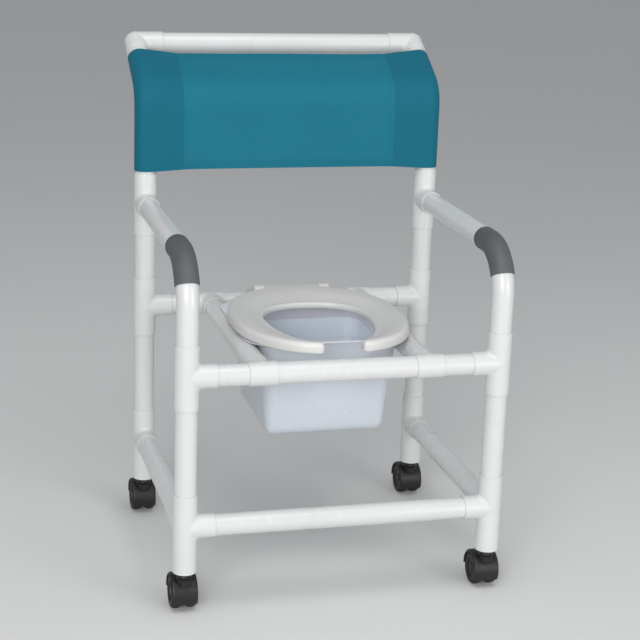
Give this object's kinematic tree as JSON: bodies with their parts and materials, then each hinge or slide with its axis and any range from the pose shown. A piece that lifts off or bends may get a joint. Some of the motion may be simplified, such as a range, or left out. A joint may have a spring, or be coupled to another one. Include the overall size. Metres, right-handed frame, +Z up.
{
  "type": "commode chair",
  "caption": "Rolling commode and shower chair with a plastic pipe frame, a hinged open-front seat, a drop-in pail, a fabric back and swivel casters.",
  "frame": {"origin": "on the floor, under the middle of the bounding box", "axes": "+X across the width, towards the sitter's left side (right in a front view); -Y towards the front; +Z up"},
  "size_m": [0.6606, 0.689, 1.0305],
  "materials": {
    "white_pvc": "smooth satin gloss white pipe plastic",
    "seat_plastic": "warm light grey moulded seat plastic, satin",
    "pail_plastic": "bluish white translucent-looking moulded plastic, satin",
    "sling_fabric": "teal coated mesh fabric, fine weave",
    "grip_vinyl": "dark grey soft vinyl sleeve, matte",
    "caster_plastic": "black moulded nylon, fine texture",
    "wheel_tread": "dark grey soft tread, matte",
    "bumper_rubber": "pale soft rubber",
    "plated_steel": "zinc plated steel"
  },
  "bodies": {
    "frame": {"arm_grip_left": "grip_vinyl", "arm_grip_right": "grip_vinyl", "arm_tee_left": "white_pvc", "arm_tee_right": "white_pvc", "back_sling": "sling_fabric", "front_leg_arm_left": "white_pvc", "front_leg_arm_right": "white_pvc", "front_low_fitting_left": "white_pvc", "front_low_fitting_right": "white_pvc", "front_pail_rail_tee_left": "white_pvc", "front_pail_rail_tee_right": "white_pvc", "front_seat_tee_left": "white_pvc", "front_seat_tee_right": "white_pvc", "hinge_bracket_left": "seat_plastic", "hinge_bracket_right": "seat_plastic", "hinge_pin": "plated_steel", "low_front_rail": "white_pvc", "low_side_rail_left": "white_pvc", "low_side_rail_right": "white_pvc", "pail": "pail_plastic", "pail_rail_left": "white_pvc", "pail_rail_right": "white_pvc", "push_rail": "white_pvc", "push_rail_elbow_left": "white_pvc", "push_rail_elbow_right": "white_pvc", "rear_low_fitting_left": "white_pvc", "rear_low_fitting_right": "white_pvc", "rear_pail_rail_tee_left": "white_pvc", "rear_pail_rail_tee_right": "white_pvc", "rear_seat_tee_left": "white_pvc", "rear_seat_tee_right": "white_pvc", "rear_upright_left": "white_pvc", "rear_upright_right": "white_pvc", "seat_front_rail": "white_pvc", "seat_rear_rail": "white_pvc"},
    "seat": {"seat_bumper_front_left": "bumper_rubber", "seat_bumper_front_right": "bumper_rubber", "seat_bumper_rear_left": "bumper_rubber", "seat_bumper_rear_right": "bumper_rubber", "seat_ring": "seat_plastic"},
    "caster_front_left": {"caster_hood_front_left": "caster_plastic", "caster_stem_front_left": "plated_steel", "caster_axle_front_left": "plated_steel"},
    "wheel_front_left_left": {"caster_wheel_front_left_left": "wheel_tread"},
    "wheel_front_left_right": {"caster_wheel_front_left_right": "wheel_tread"},
    "caster_front_right": {"caster_hood_front_right": "caster_plastic", "caster_stem_front_right": "plated_steel", "caster_axle_front_right": "plated_steel"},
    "wheel_front_right_left": {"caster_wheel_front_right_left": "wheel_tread"},
    "wheel_front_right_right": {"caster_wheel_front_right_right": "wheel_tread"},
    "caster_rear_left": {"caster_hood_rear_left": "caster_plastic", "caster_stem_rear_left": "plated_steel", "caster_axle_rear_left": "plated_steel"},
    "wheel_rear_left_left": {"caster_wheel_rear_left_left": "wheel_tread"},
    "wheel_rear_left_right": {"caster_wheel_rear_left_right": "wheel_tread"},
    "caster_rear_right": {"caster_hood_rear_right": "caster_plastic", "caster_stem_rear_right": "plated_steel", "caster_axle_rear_right": "plated_steel"},
    "wheel_rear_right_left": {"caster_wheel_rear_right_left": "wheel_tread"},
    "wheel_rear_right_right": {"caster_wheel_rear_right_right": "wheel_tread"}
  },
  "joints": [
    {"name": "seat_hinge", "type": "hinge", "parent": "frame", "child": "seat", "pos_m": [0, 0.124, 0.508], "axis": [-1, 0, 0], "range_deg": [0, 90]},
    {"name": "swivel_front_left", "type": "hinge", "parent": "frame", "child": "caster_front_left", "pos_m": [-0.305, -0.32, 0.05], "axis": [0, 0, 1], "continuous": true},
    {"name": "swivel_front_right", "type": "hinge", "parent": "frame", "child": "caster_front_right", "pos_m": [0.305, -0.32, 0.05], "axis": [0, 0, 1], "continuous": true},
    {"name": "swivel_rear_left", "type": "hinge", "parent": "frame", "child": "caster_rear_left", "pos_m": [-0.305, 0.18, 0.05], "axis": [0, 0, 1], "continuous": true},
    {"name": "swivel_rear_right", "type": "hinge", "parent": "frame", "child": "caster_rear_right", "pos_m": [0.305, 0.18, 0.05], "axis": [0, 0, 1], "continuous": true},
    {"name": "spin_front_left_left", "type": "hinge", "parent": "caster_front_left", "child": "wheel_front_left_left", "pos_m": [-0.305, -0.298, 0.03259], "axis": [1, 0, 0], "continuous": true},
    {"name": "spin_front_left_right", "type": "hinge", "parent": "caster_front_left", "child": "wheel_front_left_right", "pos_m": [-0.305, -0.298, 0.03259], "axis": [1, 0, 0], "continuous": true},
    {"name": "spin_front_right_left", "type": "hinge", "parent": "caster_front_right", "child": "wheel_front_right_left", "pos_m": [0.305, -0.298, 0.03259], "axis": [1, 0, 0], "continuous": true},
    {"name": "spin_front_right_right", "type": "hinge", "parent": "caster_front_right", "child": "wheel_front_right_right", "pos_m": [0.305, -0.298, 0.03259], "axis": [1, 0, 0], "continuous": true},
    {"name": "spin_rear_left_left", "type": "hinge", "parent": "caster_rear_left", "child": "wheel_rear_left_left", "pos_m": [-0.305, 0.202, 0.03259], "axis": [1, 0, 0], "continuous": true},
    {"name": "spin_rear_left_right", "type": "hinge", "parent": "caster_rear_left", "child": "wheel_rear_left_right", "pos_m": [-0.305, 0.202, 0.03259], "axis": [1, 0, 0], "continuous": true},
    {"name": "spin_rear_right_left", "type": "hinge", "parent": "caster_rear_right", "child": "wheel_rear_right_left", "pos_m": [0.305, 0.202, 0.03259], "axis": [1, 0, 0], "continuous": true},
    {"name": "spin_rear_right_right", "type": "hinge", "parent": "caster_rear_right", "child": "wheel_rear_right_right", "pos_m": [0.305, 0.202, 0.03259], "axis": [1, 0, 0], "continuous": true}
  ]
}
